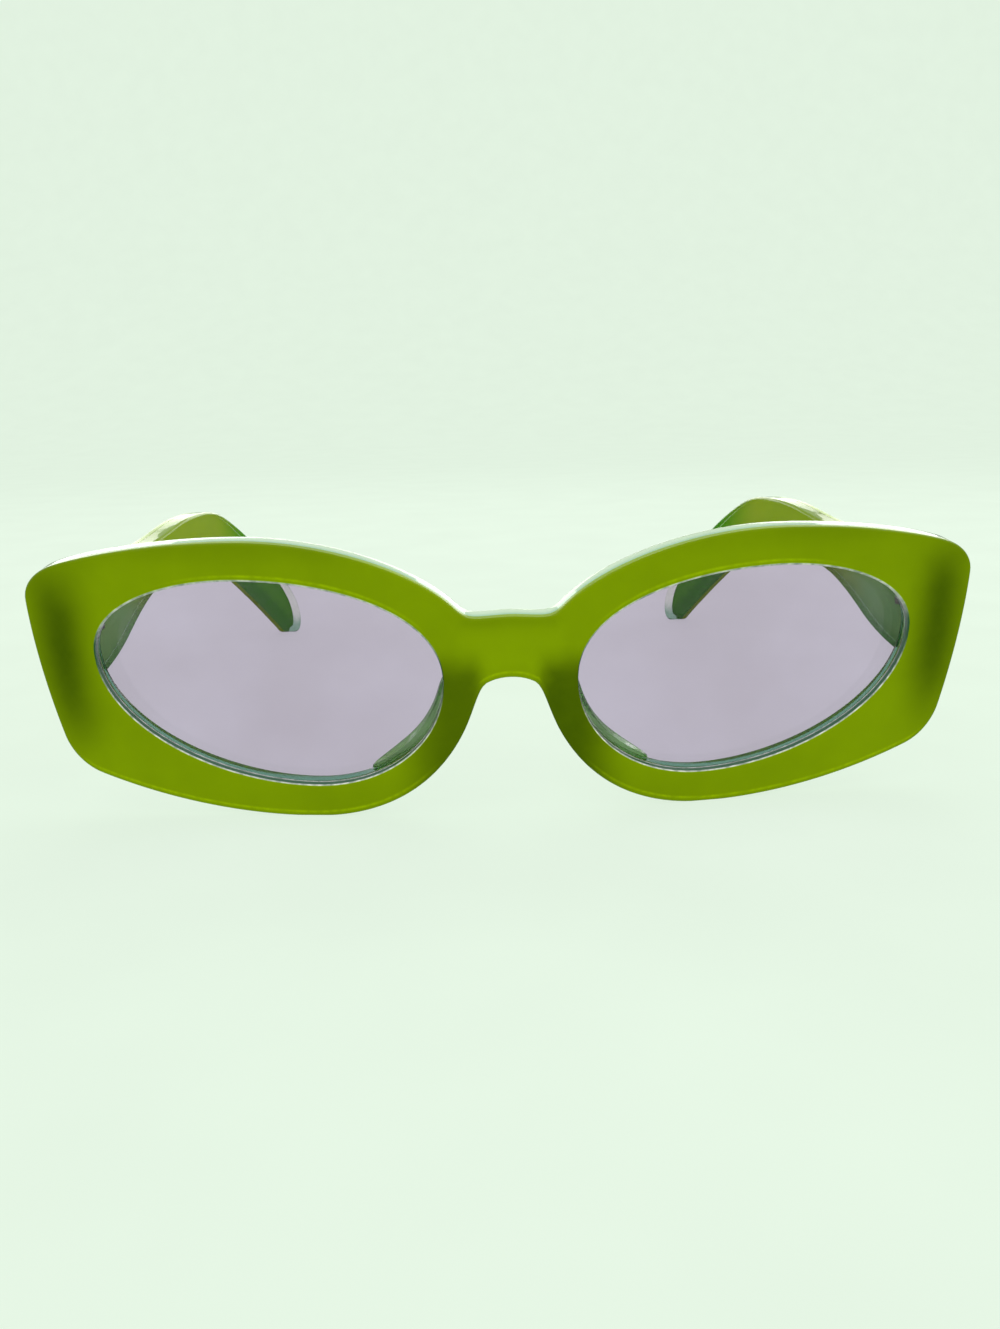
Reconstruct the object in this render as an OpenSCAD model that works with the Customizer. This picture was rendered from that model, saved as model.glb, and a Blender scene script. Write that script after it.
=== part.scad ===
// Cat eye sunglasses: laminated acetate front and temples on five-barrel hinges.
// They stand open on a table, on both rims and both temple tips.
// +Z is up, the front faces -Y, the temples run to +Y, and the wearer's left is +X.
// The origin is on the table, under the middle of the whole object.

/* [Front] */
// Thickness of the green face layer
face_t = 1.4; // [1:0.1:2]
// Thickness of the clear backing layer
backing_t = 3.0; // [2.6:0.1:3.4]
// Radius of the front's wrap, measured to its front surface
wrap_r = 280; // [240:5:400]
// Lean of the front from upright, in degrees
lean = 6; // [3:0.5:8]

/* [Lenses] */
// Radius of the lens's front surface
lens_r = 132; // [110:1:160]
// Thickness of a lens
lens_t = 1.8; // [1.6:0.1:2]
// Depth of the groove that holds a lens
groove_depth = 0.8; // [0.5:0.1:1]
// Distance from the front surface to the lens's edge, at its sides
lens_set_back = 1.9; // [1.8:0.05:2.1]

/* [Temples] */
// Distance between the temples' outer faces at the hinges
temple_span = 140; // [139:0.25:140.5]
// Thickness of the green outer layer of a temple
outer_t = 1.4; // [1:0.1:2]
// Thickness of the clear inner layer of a temple
inner_t = 3.0; // [2.6:0.1:3.4]
// Distance from the front's foremost line to the temple tips
overall_depth = 146; // [144:0.5:150]
// Inward slant of a temple, in degrees
toe_in = 1.5; // [1:0.1:3]
// Radius of the inward curve of a temple's rear half
sweep_r = 130; // [110:5:200]

/* [Hinges] */
// Outer radius of a hinge barrel
barrel_r = 1.45; // [1.3:0.05:1.6]
// Height of one hinge barrel
barrel_h = 1.45; // [1.3:0.05:1.6]
// Radius of the hinge screw's shank
pin_r = 0.7; // [0.5:0.05:0.8]

/* [Hidden] */

$fn = 96;
front_t = face_t + backing_t;
temple_t = outer_t + inner_t;
running_gap = 0.05;     // radial clearance of a barrel on its screw
barrel_gap = 0.08;      // between two barrels
butt_gap = 0.2;         // between the front's back and the temple's end
fit_gap = 0.02;         // round a part let into a recess
steps = 9;              // points on each curve of an outline

// Half of the front's outline, from the top of the bridge out and back to the nose arch.
// Each curve has two ends and two handles between them, and shares its ends.
half_front = [
    [0, 32], [2, 32], [3.9, 31.7], [5.4, 31.8],
    [6.8, 31.9], [7.5, 32.9], [8.6, 33.9],
    [14.5, 39.3], [26.6, 43.4], [38.7, 43.4],
    [49.6, 43.4], [61.1, 41.4], [67.2, 39.5],
    [70.1, 38.6], [72.5, 36.6], [72.5, 34],
    [72.5, 26.4], [71.2, 18], [69.8, 11.9],
    [69.2, 9.2], [67.2, 6.8], [64.5, 5.8],
    [54, 2], [42.3, -0.2], [30.8, -0.2],
    [18.8, -0.2], [11.1, 5.7], [7.1, 14.1],
    [5.4, 17.8], [4.9, 21], [3.5, 21.7],
    [2.3, 22.3], [1.2, 22.5], [0, 22.5]];
// Outline of the left lens opening, from its nose side over the top
lens_opening = [
    [10.1, 22.2], [10.1, 32.3], [24.6, 37.6], [39.6, 37.6],
    [51, 37.6], [62.5, 33.2], [62.5, 25.7],
    [62.5, 13.9], [45, 5.3], [29.8, 5.3],
    [18.6, 5.3], [10.1, 12.6], [10.1, 22.2]];
// Side outline of a temple, as distance behind the hinge end and height above the table.
// It runs from the top of the hinge end back over the ear bend to the tip.
temple_side = [
    [0, 37.2], [14, 37.2], [28, 37.1], [41, 37.7],
    [50, 38.2], [58, 39.6], [67, 39.6],
    [76, 39.6], [86, 39.5], [94, 36.9],
    [101, 34.6], [107, 31.6], [112, 28.4],
    [120, 22.6], [129, 16], [132.6, 9.6],
    [134.2, 6.8], [134.8, 4], [134.2, 2],
    [133.8, 0.8], [133.2, 0], [132.2, 0],
    [131.2, 0], [130.6, 0.8], [129.8, 1.6],
    [124, 7], [116, 13.4], [107.6, 18.4],
    [98, 24.2], [90, 28.4], [76, 28.8],
    [64, 29.1], [50, 29.5], [42, 28.9],
    [36, 28.4], [30, 26.6], [22, 23.4],
    [17, 21.5], [11, 20.2], [5, 19.8],
    [2.4, 19.6], [0.6, 20.4], [0, 22.6]];
// Outline of a nose pad, as distance from the middle and height on the front
pad_side = [
    [8.4, 22.4], [9.8, 22.2], [10.5, 20.8], [11.2, 18.4],
    [12.2, 15.2], [14.2, 12], [17.4, 9.6],
    [18.8, 8.5], [20, 7.9], [21.2, 7.3],
    [22, 6.9], [21.8, 6], [20.8, 6.2],
    [15.6, 7.4], [10.6, 11], [8.4, 16],
    [7.6, 18], [7, 20.4], [7.3, 22],
    [7.5, 22.6], [8, 22.8], [8.4, 22.4]];

pad_t = 5.2;            // how far a pad stands out behind the front
pad_ball = [14, -0.5, 14.5];     // middle of the ball that rounds a pad's back
pad_ball_r = 12.5;

function bezier(p, t) =
    pow(1 - t, 3) * p[0] + 3 * pow(1 - t, 2) * t * p[1]
    + 3 * (1 - t) * t * t * p[2] + pow(t, 3) * p[3];
function curve(path, n) =
    [for (i = [0:3:len(path) - 4]) for (j = [0:n - 1])
        bezier([for (k = [0:3]) path[i + k]], j / n)];
function last(path) = path[len(path) - 1];
function open_curve(path, n) = concat(curve(path, n), [last(path)]);
function mirrored(path) = [for (i = [len(path) - 1:-1:0]) [-path[i][0], path[i][1]]];
// Moves each point of a closed outline outwards, when its points run clockwise
function grown(path, d) =
    [for (i = [0:len(path) - 1])
        let (a = path[(i + len(path) - 1) % len(path)],
             b = path[(i + 1) % len(path)],
             side = [a[1] - b[1], b[0] - a[0]])
        path[i] + d * side / norm(side)];

half_points = open_curve(half_front, steps);
front_outline = concat(half_points, mirrored([for (i = [1:len(half_points) - 2]) half_points[i]]));
lens_outline = curve(lens_opening, 2 * steps);
temple_outline = open_curve(temple_side, steps);
pad_outline = curve(pad_side, steps);

// How far the front's surface lies behind its middle, at distance x from the middle
function sag(x, r = wrap_r) = r - sqrt(r * r - x * x);

rim_bottom = half_front[24];
edge_round = 0.35;      // the polished outer edge; the rim stands on the line behind it
rest_flat = 0.15;       // depth of the small flat on which each rim stands
lift = -rest_flat - rim_bottom[1] * cos(lean) - (sag(rim_bottom[0]) + edge_round) * sin(lean);
foremost_z = 38.9;      // height of the front's foremost line
front_y = -overall_depth / 2 + foremost_z * tan(lean) - sag(15);

lens_x = (lens_opening[0][0] + lens_opening[6][0]) / 2;
lens_z = (lens_opening[3][1] + lens_opening[9][1]) / 2;
lens_half_w = (lens_opening[6][0] - lens_opening[0][0]) / 2;
lens_dish = sag(lens_half_w, lens_r) - sag(lens_half_w);

// Hinge axis: behind the front's back face and inside the temple's inner face
hinge_set_back = barrel_r + 0.5;
hinge_x = temple_span / 2 - temple_t - hinge_set_back;
hinge_z = 33;
hinge_h = 5 * barrel_h + 4 * barrel_gap;
back_r = wrap_r - front_t;
temple_y = front_y + (wrap_r - sqrt(back_r * back_r - hinge_x * hinge_x)) / cos(lean)
    - (hinge_z - lift) * tan(lean);
hinge_y = temple_y + hinge_set_back;
wrap_turn = asin(hinge_x / back_r);
// Square distances from the hinge axis to the front leaf's face and to the temple's inner face
leaf_proud = 0.03;
to_front = hinge_set_back * cos(wrap_turn) * cos(lean) - leaf_proud;
to_temple = hinge_set_back * (1 - tan(toe_in)) * cos(toe_in);

sweep_start = 86;     // where a temple starts to curve inwards
leaf_t = 0.9;           // thickness of a hinge leaf
front_leaf_x = [-1.2, 5.2];     // the front leaf's ends, across, from the hinge axis
front_leaf_z = [-3.3, 4.1];     // its ends, up
front_screws = [[3.5, -1.6], [3.5, 2.4]];
temple_leaf_h = 5.6;
temple_leaf_l = 12;
temple_screw_y = [4.6, 9.6];
screw_r = 0.55;
screw_head_r = 1.05;
screw_l = 2.6;
slot_w = 0.26;          // the screwdriver slots
slot_depth = 0.28;
knuckle_room = barrel_r + 0.6;

// Places what is drawn flat on the front: X across, Z up the front, Y towards its back
module on_front() {
    translate([0, front_y, lift])
        rotate([lean, 0, 0])
            children();
}

// An outline drawn in X and Z, made solid from one depth to another
module slab(points, y0, y1) {
    translate([0, y1, 0])
        rotate([90, 0, 0])
            linear_extrude(y1 - y0)
                polygon(points);
}

// The space between two depths of the wrapped front
module wrap_layer(d0, d1) {
    translate([0, wrap_r, -20])
        difference() {
            cylinder(r = wrap_r - d0, h = 90, $fn = 360);
            translate([0, 0, -1])
                cylinder(r = wrap_r - d1, h = 92, $fn = 360);
        }
}

// A sphere's surface layer behind a lens opening
module lens_shell(d0, d1) {
    turn = asin(lens_x / wrap_r);
    translate([0, wrap_r, lens_z])
        rotate([0, 0, turn])
            translate([0, -wrap_r + lens_set_back - lens_dish + lens_r, 0])
                difference() {
                    sphere(r = lens_r - d0, $fn = 180);
                    sphere(r = lens_r - d1, $fn = 180);
                }
}

module lens_prism(d) {
    slab(grown(lens_outline, d), -2, 18);
}

module left_lens() {
    intersection() {
        lens_prism(groove_depth - fit_gap);
        lens_shell(0, lens_t);
    }
}

module left_lens_cut() {
    lens_prism(0);
    intersection() {
        lens_prism(groove_depth);
        lens_shell(-fit_gap, lens_t + fit_gap);
    }
}

module sides() {
    children();
    mirror([1, 0, 0])
        children();
}

module above_table() {
    intersection() {
        children();
        translate([-100, -100, 0])
            cube([200, 220, 60]);
    }
}

module front_layer(d0, d1) {
    difference() {
        above_table()
            on_front()
                difference() {
                    intersection() {
                        slab(front_outline, -1, 20);
                        wrap_layer(d0, d1);
                    }
                    sides()
                        left_lens_cut();
                }
        sides()
            at_left_hinge() {
                front_leaf_plate(fit_gap);
                front_leaf_screw_pair(fit_gap);
            }
    }
}

// Hinge parts are drawn for the left side, about the middle of the hinge axis
module at_left_hinge() {
    translate([hinge_x, hinge_y, hinge_z])
        children();
}

function barrel_z(i) = i * (barrel_h + barrel_gap) - hinge_h / 2;

module barrels(list) {
    for (i = list)
        translate([0, 0, barrel_z(i)])
            cylinder(r = barrel_r, h = barrel_h);
}

module pin_bore() {
    translate([0, 0, -hinge_h])
        cylinder(r = pin_r + running_gap, h = 2 * hinge_h);
}

// Places what is drawn on the front's back face: Y is out of that face
module on_front_back() {
    rotate([lean, 0, wrap_turn])
        translate([0, -to_front, 0])
            children();
}

// Places what is drawn on the temple's inner face: X is into the temple
module on_temple_face() {
    rotate([0, 0, toe_in])
        translate([to_temple, 0, 0])
            children();
}

// A countersunk screw along X, its slotted head flush with X = 0
module leaf_screw(grow) {
    rotate([0, 90, 0])
        difference() {
            union() {
                cylinder(r = screw_r + grow, h = screw_l + grow);
                cylinder(r1 = screw_head_r + grow, r2 = screw_r + grow, h = screw_head_r - screw_r);
            }
            if (grow == 0)
                translate([-screw_head_r, -slot_w / 2, -1])
                    cube([2 * screw_head_r, slot_w, 1 + slot_depth]);
        }
}

module front_leaf_plate(grow) {
    on_front_back()
        translate([front_leaf_x[0] - grow, -leaf_t - grow, front_leaf_z[0] - grow])
            cube([front_leaf_x[1] - front_leaf_x[0] + 2 * grow, leaf_t + 2 * grow,
                  front_leaf_z[1] - front_leaf_z[0] + 2 * grow]);
}

module front_leaf_screw_pair(grow) {
    on_front_back()
        for (place = front_screws)
            translate([place[0], 0, place[1]])
                rotate([0, 0, -90])
                    leaf_screw(grow);
}

module front_leaf() {
    difference() {
        union() {
            front_leaf_plate(0);
            barrels([0, 2, 4]);
            intersection() {
                for (i = [0, 2, 4])
                    translate([-barrel_r, -2 * hinge_set_back, barrel_z(i)])
                        cube([2 * barrel_r, 2 * hinge_set_back, barrel_h]);
                on_front_back()
                    translate([front_leaf_x[0], -leaf_t / 2, front_leaf_z[0]])
                        cube([-2 * front_leaf_x[0], to_front + leaf_t / 2, front_leaf_z[1] - front_leaf_z[0]]);
            }
        }
        pin_bore();
        front_leaf_screw_pair(fit_gap);
    }
}

module temple_leaf_plate(grow) {
    on_temple_face()
        translate([-grow, 1 - grow, -temple_leaf_h / 2 - grow])
            cube([leaf_t + 2 * grow, temple_leaf_l + 2 * grow, temple_leaf_h + 2 * grow]);
}

module temple_leaf_screw_pair(grow) {
    on_temple_face()
        for (y = temple_screw_y)
            translate([0, y, 0])
                leaf_screw(grow);
}

module temple_leaf() {
    difference() {
        union() {
            temple_leaf_plate(0);
            barrels([1, 3]);
            for (i = [1, 3])
                translate([0, 0, barrel_z(i)])
                    linear_extrude(barrel_h)
                        polygon([[0.4, -barrel_r + 0.06], [to_temple - 0.2, 0.5], [to_temple - 0.2, 1.3],
                                 [to_temple + 0.3, 1.3], [to_temple + 0.3, 3], [to_temple - 0.4, 3],
                                 [-0.7, barrel_r - 0.2]]);
        }
        pin_bore();
        temple_leaf_screw_pair(fit_gap);
    }
}

module temple_leaf_recess() {
    temple_leaf_plate(fit_gap);
    temple_leaf_screw_pair(fit_gap);
    // Room for the knuckles, which reach into the temple's inner corner
    translate([0, 0, -hinge_h / 2 - 0.3])
        cylinder(r = knuckle_room, h = hinge_h + 1.4);
}

// The hinge screw: a slotted head above the top barrel and a shank through all five
module hinge_screw() {
    head_h = 0.6;
    translate([0, 0, -hinge_h / 2])
        difference() {
            union() {
                translate([0, 0, 0.1])
                    cylinder(r = pin_r, h = hinge_h);
                translate([0, 0, hinge_h])
                    cylinder(r = barrel_r - 0.2, h = head_h);
            }
            translate([-barrel_r, -slot_w / 2, hinge_h + head_h - slot_depth])
                cube([2 * barrel_r, slot_w, head_h]);
        }
}

// A temple's band in plan, between two distances inside its outer face
module temple_band(d0, d1) {
    translate([temple_span / 2, 0, -1])
        rotate([0, 0, toe_in]) {
            translate([-d1, -5, 0])
                cube([d1 - d0, sweep_start + 5, 50]);
            translate([-sweep_r, sweep_start, 0])
                intersection() {
                    difference() {
                        cylinder(r = sweep_r - d0, h = 50, $fn = 360);
                        translate([0, 0, -1])
                            cylinder(r = sweep_r - d1, h = 52, $fn = 360);
                    }
                    cube([sweep_r, sweep_r, 50]);
                }
        }
}

// Everything behind the front's back face
module behind_front() {
    on_front()
        translate([0, wrap_r, -40])
            cylinder(r = wrap_r - front_t - butt_gap, h = 120, $fn = 360);
}

module left_temple_layer(d0, d1) {
    difference() {
        intersection() {
            translate([0, temple_y, 0])
                temple_band(d0, d1);
            translate([40, temple_y, 0])
                rotate([90, 0, 90])
                    linear_extrude(40)
                        polygon(temple_blank());
            behind_front();
        }
        at_left_hinge()
            temple_leaf_recess();
    }
}

// The side outline, carried on in front of the hinge end so that the front's back trims it
function temple_blank() =
    concat(temple_outline, [[-6, last(temple_side)[1] - 2.2], [-6, temple_side[0][1]]]);

module nose_pad_solid() {
    intersection() {
        slab(pad_outline, -1, 20);
        wrap_layer(front_t, front_t + pad_t);
        translate(pad_ball)
            sphere(r = pad_ball_r, $fn = 120);
    }
}

module front_face() {
    color("olivedrab")
        front_layer(0, face_t);
}

module front_backing() {
    color("honeydew")
        front_layer(face_t, front_t);
}

module lens(left) {
    color("lavender", 0.5)
        mirror([left ? 0 : 1, 0, 0])
            on_front()
                left_lens();
}

module nose_pad(left) {
    color("honeydew")
        mirror([left ? 0 : 1, 0, 0])
            on_front()
                nose_pad_solid();
}

module handed(left) {
    mirror([left ? 0 : 1, 0, 0])
        at_left_hinge()
            children();
}

module temple_outer(left) {
    color("olivedrab")
        mirror([left ? 0 : 1, 0, 0])
            left_temple_layer(0, outer_t);
}

module temple_inner(left) {
    color("honeydew")
        mirror([left ? 0 : 1, 0, 0])
            left_temple_layer(outer_t, temple_t);
}

module hinge_part(left) {
    color("silver")
        handed(left)
            children();
}

front_face();
front_backing();
lens(true);  // lens_left
lens(false);  // lens_right
nose_pad(true);  // nose_pad_left
nose_pad(false);  // nose_pad_right
hinge_part(true) front_leaf();  // hinge_front_leaf_left
hinge_part(false) front_leaf();  // hinge_front_leaf_right
hinge_part(true) temple_leaf();  // hinge_temple_leaf_left
hinge_part(false) temple_leaf();  // hinge_temple_leaf_right
hinge_part(true) hinge_screw();  // hinge_screw_left
hinge_part(false) hinge_screw();  // hinge_screw_right
hinge_part(true) front_leaf_screw_pair(0);  // front_leaf_screws_left
hinge_part(false) front_leaf_screw_pair(0);  // front_leaf_screws_right
hinge_part(true) temple_leaf_screw_pair(0);  // temple_leaf_screws_left
hinge_part(false) temple_leaf_screw_pair(0);  // temple_leaf_screws_right
temple_outer(true);  // temple_outer_left
temple_outer(false);  // temple_outer_right
temple_inner(true);  // temple_inner_left
temple_inner(false);  // temple_inner_right
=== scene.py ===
"""Cat eye sunglasses, standing open on a pale floor.

The green and clear acetate layers, the lenses and the nose pads are rebuilt here as smooth meshes from
the same outlines as the CAD. The hinges and screws are the CAD's own nodes with metal materials.
Lengths in this file are in millimetres until a point is placed.
"""

import math

import bpy
import numpy as np
from mathutils import Matrix, Vector
from mathutils.geometry import delaunay_2d_cdt


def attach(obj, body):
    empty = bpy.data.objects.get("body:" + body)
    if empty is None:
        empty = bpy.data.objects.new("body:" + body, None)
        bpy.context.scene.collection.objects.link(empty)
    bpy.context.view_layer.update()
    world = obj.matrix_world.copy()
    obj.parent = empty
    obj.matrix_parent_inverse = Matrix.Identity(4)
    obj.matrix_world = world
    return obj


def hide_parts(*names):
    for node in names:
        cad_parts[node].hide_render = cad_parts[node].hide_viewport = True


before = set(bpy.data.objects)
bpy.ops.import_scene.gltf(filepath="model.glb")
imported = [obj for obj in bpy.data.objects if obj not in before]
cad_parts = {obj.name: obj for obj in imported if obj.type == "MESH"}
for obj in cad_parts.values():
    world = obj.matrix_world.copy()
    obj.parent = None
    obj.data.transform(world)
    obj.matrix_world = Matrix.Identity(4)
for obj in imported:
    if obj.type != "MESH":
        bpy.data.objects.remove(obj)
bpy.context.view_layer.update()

# ---------------------------------------------------------------- the design, as in the CAD
MM = 0.001
WRAP_R = 280.0
LEAN = math.radians(6)
FACE_T = 1.4
FRONT_T = 4.4
LAYER_GAP = 0.02        # keeps two bonded faces apart for the renderer
LENS_R = 132.0
LENS_T = 1.8
LENS_SET_BACK = 1.9
GROOVE = 0.8
GROOVE_GAP = 0.02
TEMPLE_SPAN = 140.0
OUTER_T = 1.4
TEMPLE_T = 4.4
DEPTH = 146.0
TOE_IN = math.radians(1.5)
SWEEP_R = 130.0
SWEEP_START = 86.0
BUTT_GAP = 0.2
REST_FLAT = 0.15
EDGE_ROUND = 0.35       # the CAD's polished edge, which sets the height of the front
FOREMOST_Z = 38.9
CHAMFER = 0.04          # at a layer's hidden corners
FACE_WALL = 1.0         # a depth at which the face layer's wall has a ring
BACKING_WALL = 2.6      # the same for the clear layers
FACE_ROUND = 0.42
BACK_ROUND = 0.5
RIM_ROUND = 0.3
TEMPLE_OUTER_ROUND = 0.55
TEMPLE_INNER_ROUND = 0.6
POCKET_GAP = 0.03
LENS_CHAMFER = 0.15
PAD_ROUND = 1.3
PAD_BALL = ((14.0, -0.5, 14.5), 12.5)
PAD_T = 5.2
HINGE_SET_BACK = 1.95
HINGE_Z = 33.0
LEAF_T = 0.9
FRONT_LEAF = ((-1.2, 5.2), (-3.3, 4.1))       # its ends, across and up, from the hinge axis
TEMPLE_LEAF = ((1.0, 13.0), (-2.8, 2.8))      # its ends, back and up, from the hinge axis

# Each curve has two ends and two handles between them, and shares its ends.
HALF_FRONT = [
    (0, 32), (2, 32), (3.9, 31.7), (5.4, 31.8),
    (6.8, 31.9), (7.5, 32.9), (8.6, 33.9),
    (14.5, 39.3), (26.6, 43.4), (38.7, 43.4),
    (49.6, 43.4), (61.1, 41.4), (67.2, 39.5),
    (70.1, 38.6), (72.5, 36.6), (72.5, 34),
    (72.5, 26.4), (71.2, 18), (69.8, 11.9),
    (69.2, 9.2), (67.2, 6.8), (64.5, 5.8),
    (54, 2), (42.3, -0.2), (30.8, -0.2),
    (18.8, -0.2), (11.1, 5.7), (7.1, 14.1),
    (5.4, 17.8), (4.9, 21), (3.5, 21.7),
    (2.3, 22.3), (1.2, 22.5), (0, 22.5)]
LENS_OPENING = [
    (10.1, 22.2), (10.1, 32.3), (24.6, 37.6), (39.6, 37.6),
    (51, 37.6), (62.5, 33.2), (62.5, 25.7),
    (62.5, 13.9), (45, 5.3), (29.8, 5.3),
    (18.6, 5.3), (10.1, 12.6), (10.1, 22.2)]
TEMPLE_SIDE = [
    (0, 37.2), (14, 37.2), (28, 37.1), (41, 37.7),
    (50, 38.2), (58, 39.6), (67, 39.6),
    (76, 39.6), (86, 39.5), (94, 36.9),
    (101, 34.6), (107, 31.6), (112, 28.4),
    (120, 22.6), (129, 16), (132.6, 9.6),
    (134.2, 6.8), (134.8, 4), (134.2, 2),
    (133.8, 0.8), (133.2, 0), (132.2, 0),
    (131.2, 0), (130.6, 0.8), (129.8, 1.6),
    (124, 7), (116, 13.4), (107.6, 18.4),
    (98, 24.2), (90, 28.4), (76, 28.8),
    (64, 29.1), (50, 29.5), (42, 28.9),
    (36, 28.4), (30, 26.6), (22, 23.4),
    (17, 21.5), (11, 20.2), (5, 19.8),
    (2.4, 19.6), (0.6, 20.4), (0, 22.6)]
PAD_SIDE = [
    (8.4, 22.4), (9.8, 22.2), (10.5, 20.8), (11.2, 18.4),
    (12.2, 15.2), (14.2, 12), (17.4, 9.6),
    (18.8, 8.5), (20, 7.9), (21.2, 7.3),
    (22, 6.9), (21.8, 6), (20.8, 6.2),
    (15.6, 7.4), (10.6, 11), (8.4, 16),
    (7.6, 18), (7, 20.4), (7.3, 22),
    (7.5, 22.6), (8, 22.8), (8.4, 22.4)]


def sag(x, r=WRAP_R):
    return r - math.sqrt(r * r - x * x)


RIM_BOTTOM = HALF_FRONT[24]
LIFT = -REST_FLAT - RIM_BOTTOM[1] * math.cos(LEAN) - (sag(RIM_BOTTOM[0]) + EDGE_ROUND) * math.sin(LEAN)
FRONT_Y = -DEPTH / 2 + FOREMOST_Z * math.tan(LEAN) - sag(15)
HINGE_X = TEMPLE_SPAN / 2 - TEMPLE_T - HINGE_SET_BACK
BACK_R = WRAP_R - FRONT_T
TEMPLE_Y = (FRONT_Y + (WRAP_R - math.sqrt(BACK_R ** 2 - HINGE_X ** 2)) / math.cos(LEAN)
            - (HINGE_Z - LIFT) * math.tan(LEAN))
HINGE = Vector((HINGE_X, TEMPLE_Y + HINGE_SET_BACK, HINGE_Z))
WRAP_TURN = math.asin(HINGE_X / BACK_R)
TO_FRONT = HINGE_SET_BACK * math.cos(WRAP_TURN) * math.cos(LEAN)
TO_TEMPLE = HINGE_SET_BACK * (1 - math.tan(TOE_IN)) * math.cos(TOE_IN)

LENS_MID = ((LENS_OPENING[0][0] + LENS_OPENING[6][0]) / 2, (LENS_OPENING[3][1] + LENS_OPENING[9][1]) / 2)
LENS_HALF_W = (LENS_OPENING[6][0] - LENS_OPENING[0][0]) / 2
LENS_DISH = sag(LENS_HALF_W, LENS_R) - sag(LENS_HALF_W)
LENS_TURN = math.asin(LENS_MID[0] / WRAP_R)
LENS_REACH = -WRAP_R + LENS_SET_BACK - LENS_DISH + LENS_R
LENS_CENTRE = (-LENS_REACH * math.sin(LENS_TURN), WRAP_R + LENS_REACH * math.cos(LENS_TURN), LENS_MID[1])


# ---------------------------------------------------------------- outlines
def curve(path, n=24):
    """The points of a chain of curves, without its last one."""
    out = []
    for i in range(0, len(path) - 3, 3):
        a, b, c, d = (np.array(p, float) for p in path[i:i + 4])
        for j in range(n):
            t = j / n
            out.append((1 - t) ** 3 * a + 3 * (1 - t) ** 2 * t * b + 3 * (1 - t) * t * t * c + t ** 3 * d)
    return out


def even(points, step):
    """A closed outline with its points an even step apart."""
    p = np.array(points)
    gaps = np.linalg.norm(np.roll(p, -1, 0) - p, axis=1)
    along = np.concatenate([[0], np.cumsum(gaps)])
    closed = np.vstack([p, p[:1]])
    want = np.linspace(0, along[-1], max(8, round(along[-1] / step)), endpoint=False)
    return np.stack([np.interp(want, along, closed[:, k]) for k in (0, 1)], axis=1)


def area(p):
    q = np.roll(p, -1, 0)
    return 0.5 * float(np.sum(p[:, 0] * q[:, 1] - q[:, 0] * p[:, 1]))


def oriented(p, hole):
    """The outline with the material on its left: round a hole it runs clockwise."""
    return p[::-1] if (area(p) > 0) == hole else p


def inward(p):
    """Unit vectors from an outline into the material."""
    t = np.roll(p, -1, 0) - np.roll(p, 1, 0)
    t /= np.linalg.norm(t, axis=1)[:, None]
    return np.stack([-t[:, 1], t[:, 0]], axis=1)


def room(p, into):
    """How far each point can move into the material before it meets the outline's own middle line."""
    across = p[None, :, :] - p[:, None, :]
    ahead = np.einsum("ijk,ik->ij", across, into)
    apart = np.einsum("ijk,ijk->ij", across, across)
    radius = np.where(ahead > 1e-6, apart / np.maximum(2 * ahead, 1e-9), 1e9)
    least = radius.min(axis=1)
    return np.minimum.reduce([np.roll(least, k) for k in (-1, 0, 1)])


def inside(points, loops):
    """Which points are in the material, by the even-odd rule."""
    hit = np.zeros(len(points), bool)
    for loop in loops:
        a, b = loop, np.roll(loop, -1, 0)
        for (x0, y0), (x1, y1) in zip(a, b):
            if y0 == y1:
                continue
            cross = (points[:, 1] > y0) != (points[:, 1] > y1)
            hit ^= cross & (points[:, 0] < x0 + (points[:, 1] - y0) * (x1 - x0) / (y1 - y0))
    return hit


def mirror_x(p):
    return np.array(p) * (-1, 1)


half = curve(HALF_FRONT) + [np.array(HALF_FRONT[-1], float)]
FRONT_LOOP = half + [mirror_x(p) for p in half[-2:0:-1]]
LENS_LOOP = curve(LENS_OPENING)
TEMPLE_LOOP = curve(TEMPLE_SIDE) + [np.array((0, 22.6)), np.array((0, 27.0)), np.array((0, 32.0))]
PAD_LOOP = curve(PAD_SIDE)


# ---------------------------------------------------------------- mesh building
NET_ROW = 0.866         # the height of a row of even triangles, in steps
NET_MARGIN = 0.55       # how far the net's points stay from an outline, in steps
WALL_RING = 4           # the first ring counted as the wall; those before it belong to the side's edge


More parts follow.
